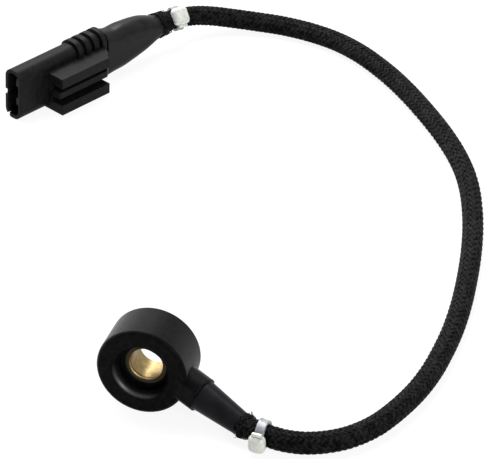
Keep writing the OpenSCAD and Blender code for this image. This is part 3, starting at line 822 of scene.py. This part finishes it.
class TieSeat(Enum):
    """A tie's name, its solid, its knot on the route from either end, its roll, its head, its band's skew and shift."""

    SENSOR = ("sensor_tie", "sensor_end_tie", 1, 4.0, (4.3, 3.0, 4.5), 12.0, 0.0)
    CONNECTOR = ("connector_tie", "connector_end_tie", -3, 216.0, (4.8, 3.1, 5.0), 14.0, -0.5)


@dataclass
class Tie:
    """A nylon cable tie: a flat band round the cable, its head, and the end of the band cut short past it."""

    seat: TieSeat
    skew: float = 12.0
    inner_r: float = 2.75
    strap_w: float = 2.5
    strap_t: float = 0.8
    edge: float = 1.25
    corner: float = 1.42
    tail: float = 0.8

    def placed(self, points: np.ndarray) -> np.ndarray:
        """Points from the tie's own axes, +X along the cable and -Y to the head, into the row's frame."""
        knots = np.array([NECK_END, *ROUTE, boot_end()])
        at = self.seat.value[2] % len(knots)
        x, y, z = unit(unit(knots[at + 1] - knots[at]) + unit(knots[at] - knots[at - 1]))
        dip, turn, roll = -math.asin(z), math.atan2(y, x), math.radians(self.seat.value[3])
        about_x = np.array([[1, 0, 0], [0, math.cos(roll), -math.sin(roll)], [0, math.sin(roll), math.cos(roll)]])
        about_y = np.array([[math.cos(dip), 0, math.sin(dip)], [0, 1, 0], [-math.sin(dip), 0, math.cos(dip)]])
        about_z = np.array([[math.cos(turn), -math.sin(turn), 0], [math.sin(turn), math.cos(turn), 0], [0, 0, 1]])
        return points @ (about_z @ about_y @ about_x).T + knots[at]

    def skewed(self, points: np.ndarray) -> np.ndarray:
        """Points turned askew, as the head is."""
        skew = math.radians(self.skew)
        turn = np.array([[math.cos(skew), -math.sin(skew), 0], [math.sin(skew), math.cos(skew), 0], [0, 0, 1]])
        return points @ turn.T

    def band(self) -> np.ndarray:
        """The band: a dished oblong section swept round the cable, and sheared along it by the skew."""
        section = oblong(np.array([self.strap_w]), np.array([self.strap_t]), np.array([0.22]), 4, 6)[0]
        angle = np.linspace(0.0, TAU, 72, endpoint=False)[:, None]
        dish = 0.09 * np.cos(section[:, 0] * math.pi / self.strap_w) * (section[:, 1] > 0.2)
        radius = self.inner_r + self.strap_t / 2 + section[None, :, 1] - dish
        y, z = radius * np.cos(angle), radius * np.sin(angle)
        skew, shift = self.seat.value[5:]
        x = section[None, :, 0] + shift - y * math.tan(math.radians(skew))
        return np.stack([x, y, z], -1)

    def block(self, z: np.ndarray, width: np.ndarray, height: np.ndarray, corner: np.ndarray) -> np.ndarray:
        """A stack of oblongs across the band's way, on the head's centre line."""
        flat = oblong(width, height, corner, 6, 4)
        middle = -self.inner_r - self.seat.value[4][1] / 2
        return self.skewed(np.stack([flat[..., 0], flat[..., 1] + middle,
                                     np.broadcast_to(z[:, None], flat.shape[:2])], -1))

    def head_grid(self) -> np.ndarray:
        """The head: rounded at both ends, then turned in through its slot to the pawl inside."""
        wide, high, long = self.seat.value[4]
        turn = np.linspace(0.0, 0.25 * TAU, 7)
        inset = self.edge * (1.0 - np.sin(turn))
        rise = self.edge * (1.0 - np.cos(turn))
        z = np.concatenate([-long / 2 + rise, long / 2 - rise[::-1], long / 2 - np.array([0.02, 0.12, 0.7, 1.5])])
        shrink = np.concatenate([inset, inset[::-1]])
        slot_w, slot_h = np.array([2.78, 2.66, 2.62, 2.6]), np.array([1.12, 1.0, 0.96, 0.94])
        width = np.concatenate([wide - 2 * shrink, slot_w])
        height = np.concatenate([high - 2 * shrink, slot_h])
        corner = np.concatenate([np.maximum(self.corner - shrink, 0.3), np.array([0.3, 0.2, 0.18, 0.18])])
        return self.block(z, width, height, corner)

    def tail_grid(self) -> np.ndarray:
        """The band's cut end, out of the slot."""
        exit_z = self.seat.value[4][2] / 2
        start, end = exit_z - 1.6, exit_z + self.tail
        z = np.array([start, start + 0.1, end - 0.12, end - 0.03, end])
        shrink = np.array([0.2, 0.0, 0.0, 0.09, 0.25])
        return self.block(z, self.strap_w - shrink, self.strap_t - shrink, np.full(5, 0.18))

    def build(self, shop: PaintShop) -> bpy.types.Object:
        """Makes the tie in place of its solid."""
        name, solid = self.seat.value[:2]
        forms = (("band", self.band(), "tie_band"), ("head", self.head_grid(), "tie"),
                 ("tail", self.tail_grid(), "tie"))
        parts = [surface(f"{name}_{part}", self.placed(grid)[:, ::-1], loop=part == "band")
                 for part, grid, _ in forms]
        for part, (_, _, finish) in zip(parts, forms):
            shop.coat(part, finish)
        piece = joined(name, parts)
        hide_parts(solid)
        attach(piece, "root")
        log.info("%s: %s", name, PALETTE["tie"].name)
        return piece


@dataclass
class Studio:
    """The camera at the photograph's angle, the soft lamps, the pale table and the white surround."""

    tilt: float = 0.541
    turn: float = 0.304
    eye: tuple[float, float, float] = (264.26, -771.19, 523.04)
    lens: float = 293.22

    def camera(self) -> None:
        """Puts the camera where the photograph was taken from."""
        data = bpy.data.cameras.new("photo_camera")
        data.lens = self.lens
        data.sensor_width = 36.0
        data.clip_end = 20.0
        eye = bpy.data.objects.new("photo_camera", data)
        eye.location = tuple(v * MM for v in self.eye)
        eye.rotation_euler = (math.pi / 2 - self.tilt, 0.0, self.turn)
        bpy.context.scene.collection.objects.link(eye)
        bpy.context.scene.camera = eye

    def lamp(self, name: str, place: Colour, size: float, power: float, aim: Colour = (0.0, 0.08, 0.0)) -> None:
        """A soft square lamp, in metres and watts, aimed at a point."""
        data = bpy.data.lights.new(name, "AREA")
        data.shape = "SQUARE"
        data.size = size
        data.energy = power
        lamp = bpy.data.objects.new(name, data)
        lamp.location = place
        back = unit(np.array(place) - np.array(aim))
        lamp.rotation_euler = (math.acos(back[2]), 0.0, math.atan2(back[0], -back[1]))
        bpy.context.scene.collection.objects.link(lamp)

    def seen(self, bench: Bench) -> Signal:
        """1 for rays from the camera and from mirrors and glass, and 0 for the rest."""
        path = bench.node("ShaderNodeLightPath")
        camera, glossy, clear = (Signal(bench, path.outputs[key])
                                 for key in ("Is Camera Ray", "Is Glossy Ray", "Is Transmission Ray"))
        return camera.maths("MAXIMUM", glossy).maths("MAXIMUM", clear)

    def table(self) -> None:
        """The pale floor, which is nearly white to the camera and keeps the object's shadow."""
        reach = 3000.0
        ends = np.array([-reach, reach])
        x, y = np.meshgrid(ends, ends, indexing="ij")
        floor = surface("studio_table", np.stack([y * 0 + x, y, y * 0 + FLOOR_Z - 0.02], -1), wrap=False, caps=False)
        bench = Bench("table_white")
        matt = bench.node("ShaderNodeBsdfDiffuse", None, {"Color": (0.86, 0.86, 0.86)})
        glow = bench.node("ShaderNodeEmission", None, {"Color": (1.0, 1.0, 1.0), "Strength": 1.0})
        both = bench.node("ShaderNodeMixShader", None,
                          {0: self.seen(bench) * 0.9, 1: matt.outputs[0], 2: glow.outputs[0]})
        bench.node("ShaderNodeOutputMaterial", None, {"Surface": both.outputs[0]})
        floor.data.materials.append(bench.material)

    def surround(self) -> None:
        """White where it is seen, and a dimmer even light on everything."""
        world = bpy.data.worlds.new("surround")
        world.use_nodes = True
        bench = Bench("surround_nodes")
        bpy.data.materials.remove(bench.material)
        bench.tree = world.node_tree
        bench.tree.nodes.clear()
        seen = self.seen(bench)
        light = bench.node("ShaderNodeBackground", None,
                           {"Color": (1.0, 1.0, 1.0), "Strength": 0.25 + 0.75 * seen})
        bench.node("ShaderNodeOutputWorld", None, {"Surface": light.outputs[0]})
        bpy.context.scene.world = world

    def build(self) -> None:
        """Sets up the table, the surround and the lamps."""
        bpy.context.scene.view_settings.view_transform = "Standard"
        self.table()
        self.surround()
        self.lamp("top_softbox", (-0.25, 0.45, 0.8), 0.7, 20.0)
        self.lamp("right_softbox", (0.75, 0.1, 0.45), 0.5, 1.3)
        self.lamp("front_softbox", (0.7, -0.52, 0.44), 0.14, 6.0, (0.0, 0.0, 0.0))
        self.lamp("rim_softbox", (-0.6, 0.35, 0.3), 0.4, 5.0, (0.0, 0.0, 0.0))


@dataclass
class Boot:
    """The glossy boot: a loft from the body's flat oblong to the round cable.

    Each section is a rectangle with round corners. Its thickness, height, corner and lift follow smooth curves
    through the stations.
    """

    rows: int = 90
    at: tuple[float, ...] = (0.0, 0.147, 0.313, 0.516, 0.682, 0.829, 0.921, 1.0)
    thick: tuple[float, ...] = (7.0, 7.0, 7.0, 7.0, 7.0, 6.9, 6.6, 6.5)
    high: tuple[float, ...] = (14.4, 13.2, 13.4, 12.2, 10.8, 8.7, 7.1, 6.5)
    corner: tuple[float, ...] = (3.0, 3.1, 3.2, 3.3, 3.3, 3.3, 3.28, 3.24)
    lift: tuple[float, ...] = (0.0, -0.3, -0.1, 0.1, 0.2, 0.15, 0.05, 0.0)
    dents: tuple[tuple[float, float, float, float, float], ...] = (
        (0.24, 128.0, 0.13, 0.12, 0.22), (0.24, 52.0, 0.13, 0.12, 0.22), (0.62, 118.0, 0.1, 0.16, 0.16),
        (0.7, 200.0, 0.16, 0.3, 0.12), (0.45, -60.0, 0.15, 0.2, 0.14), (0.82, 60.0, 0.08, 0.25, 0.12))

    def grid(self) -> np.ndarray:
        """The boot's points, in the connector's own axes, in millimetres, with a rounded rim at its tip."""
        share = np.linspace(0.0, 1.0, self.rows)
        thick, high, corner, lift = (smooth_through(self.at, values, share)
                                     for values in (self.thick, self.high, self.corner, self.lift))
        rim = np.clip((share - 0.98) / 0.02, 0.0, 1.0)
        inset = 0.35 * (1.0 - np.sqrt(1.0 - 0.98 * rim**2))
        flat = oblong(thick - 2 * inset, high - 2 * inset, corner - inset, 18, 10)
        x = np.broadcast_to((BODY_LEN + share * (BOOT_LEN + BOOT_OVER))[:, None], flat.shape[:2])
        y, z = self.creased(share[:, None], flat[..., 0], flat[..., 1])
        return np.stack([x, y, z + lift[:, None]], -1)

    def creased(self, share: np.ndarray, y: np.ndarray, z: np.ndarray) -> tuple[np.ndarray, np.ndarray]:
        """Presses the dents in towards the middle.

        Args:
            share: the share of the boot's length.
            y: the points' places across it.
            z: the points' heights.

        Returns:
            The pressed y and z: each dent takes its depth times exp(-(distance / width) ** 2), where the
            distance is counted along the boot and round it.
        """
        turn = np.arctan2(z, y)
        press = np.zeros(y.shape)
        for place, angle, long, round_, depth in self.dents:
            off = (turn - math.radians(angle) - 1.6 * (share - place) + math.pi) % TAU - math.pi
            press += depth * np.exp(-((share - place) / long) ** 2 - (off / round_) ** 2)
        size = 1.0 - press / np.hypot(y, z)
        return y * size, z * size

    def build(self, shop: PaintShop) -> bpy.types.Object:
        """Makes the boot in place of its solid."""
        piece = surface("boot_shell", on_connector(self.grid())[:, ::-1])
        shop.coat(piece, "connector_boot")
        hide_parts("connector_boot")
        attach(piece, "root")
        return piece


@dataclass
class SeatLip:
    """The rounded edge of the ring's recess, turned about the bore's axis.

    Its profile is a quarter of an ellipse from the ring's face into the recess, the recess's wall, and a way
    back inside the moulding.
    """

    face_y: float = -12.1
    floor_y: float = -8.2
    outer_r: float = 7.8
    round_r: float = 1.5
    round_y: float = 2.3

    def build(self, shop: PaintShop) -> bpy.types.Object:
        """Makes the lip as r * cos(angle) and r * sin(angle) for each point of the profile."""
        turn = np.linspace(0.0, 0.25 * TAU, 16)
        wall_r = self.outer_r - self.round_r
        r = np.concatenate([self.outer_r - self.round_r * np.sin(turn), [wall_r + 0.04, wall_r + 0.6, self.outer_r]])
        y = np.concatenate([self.face_y - 0.004 + self.round_y * (1.0 - np.cos(turn)),
                            [self.floor_y - 0.02, self.floor_y + 0.1, self.face_y + 0.3]])
        angle = np.linspace(0.0, TAU, 120, endpoint=False)[:, None]
        grid = np.stack([r * np.cos(angle), np.broadcast_to(y, (120, len(y))), r * np.sin(angle)], -1)
        piece = surface("seat_lip", grid, loop=True)
        shop.coat(piece, "seat_lip")
        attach(piece, "root")
        return piece


@dataclass
class KeywayWeb:
    """The thin web that closes the inner part of the shroud's keyway and leaves a notch at the mouth."""

    start: float = 0.5
    end: float = 6.1
    near: float = 2.15
    far: float = 2.85
    high: float = 1.9

    def build(self, shop: PaintShop) -> bpy.types.Object:
        """Makes the web as a short stack of oblongs along the connector."""
        edge = 0.1
        x = np.array([self.start, self.start + edge / 3, self.start + edge, self.end])
        shrink = np.array([2.0, 0.6, 0.0, 0.0]) * edge
        flat = oblong(self.far - self.near - shrink, self.high - shrink, np.full(4, 0.12), 4, 3)
        points = np.stack([np.broadcast_to(x[:, None], flat.shape[:2]),
                           flat[..., 0] + (self.near + self.far) / 2, flat[..., 1]], -1)
        piece = surface("keyway_web", on_connector(points)[:, ::-1])
        shop.coat(piece, "connector_body")
        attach(piece, "root")
        return piece


def smooth_through(at: Sequence[float], values: Sequence[float], share: np.ndarray, soft: float = 0.05) -> np.ndarray:
    """Straight lines through the stations, each place averaged with its neighbours to soften the bends.

    Args:
        at: the stations' places.
        values: the value at each.
        share: where the value is wanted.
        soft: how far on both sides the average reaches.

    Returns:
        The value at each share.
    """
    near = np.linspace(-soft, soft, 11)[:, None]
    reach = np.minimum(1.0, np.minimum(share, 1.0 - share) / soft)
    return np.interp(share[None, :] + near * reach, at, values).mean(0)


def on_connector(points: np.ndarray) -> np.ndarray:
    """Points from the connector's own axes, +X from mouth to boot, into the row's frame."""
    lean, turn = math.radians(LEAN), math.radians(HEADING)
    roll = np.array([[1, 0, 0], [0, math.cos(lean), -math.sin(lean)], [0, math.sin(lean), math.cos(lean)]])
    swing = np.array([[math.cos(turn), -math.sin(turn), 0], [math.sin(turn), math.cos(turn), 0], [0, 0, 1]])
    return points @ (swing @ roll).T + np.array(MOUTH)


def main() -> None:
    """Builds the camera and the cable, then every other piece, then the studio."""
    logging.basicConfig(level=logging.INFO, format="%(message)s")
    studio = Studio()
    studio.camera()
    shop = PaintShop()
    path = CablePath()
    riders = [Boot().build(shop), KeywayWeb().build(shop), *(Tie(seat).build(shop) for seat in TieSeat)]
    BraidedCable(path).build(shop, riders)
    SeatLip().build(shop)
    for name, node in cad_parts.items():
        key = NODE_FINISH.get(name, name)
        shop.coat(node, key)
        log.info("%s: %s", name, PALETTE[key].name)
    studio.build()
    bpy.context.view_layer.update()


if __name__ == "__main__":
    main()
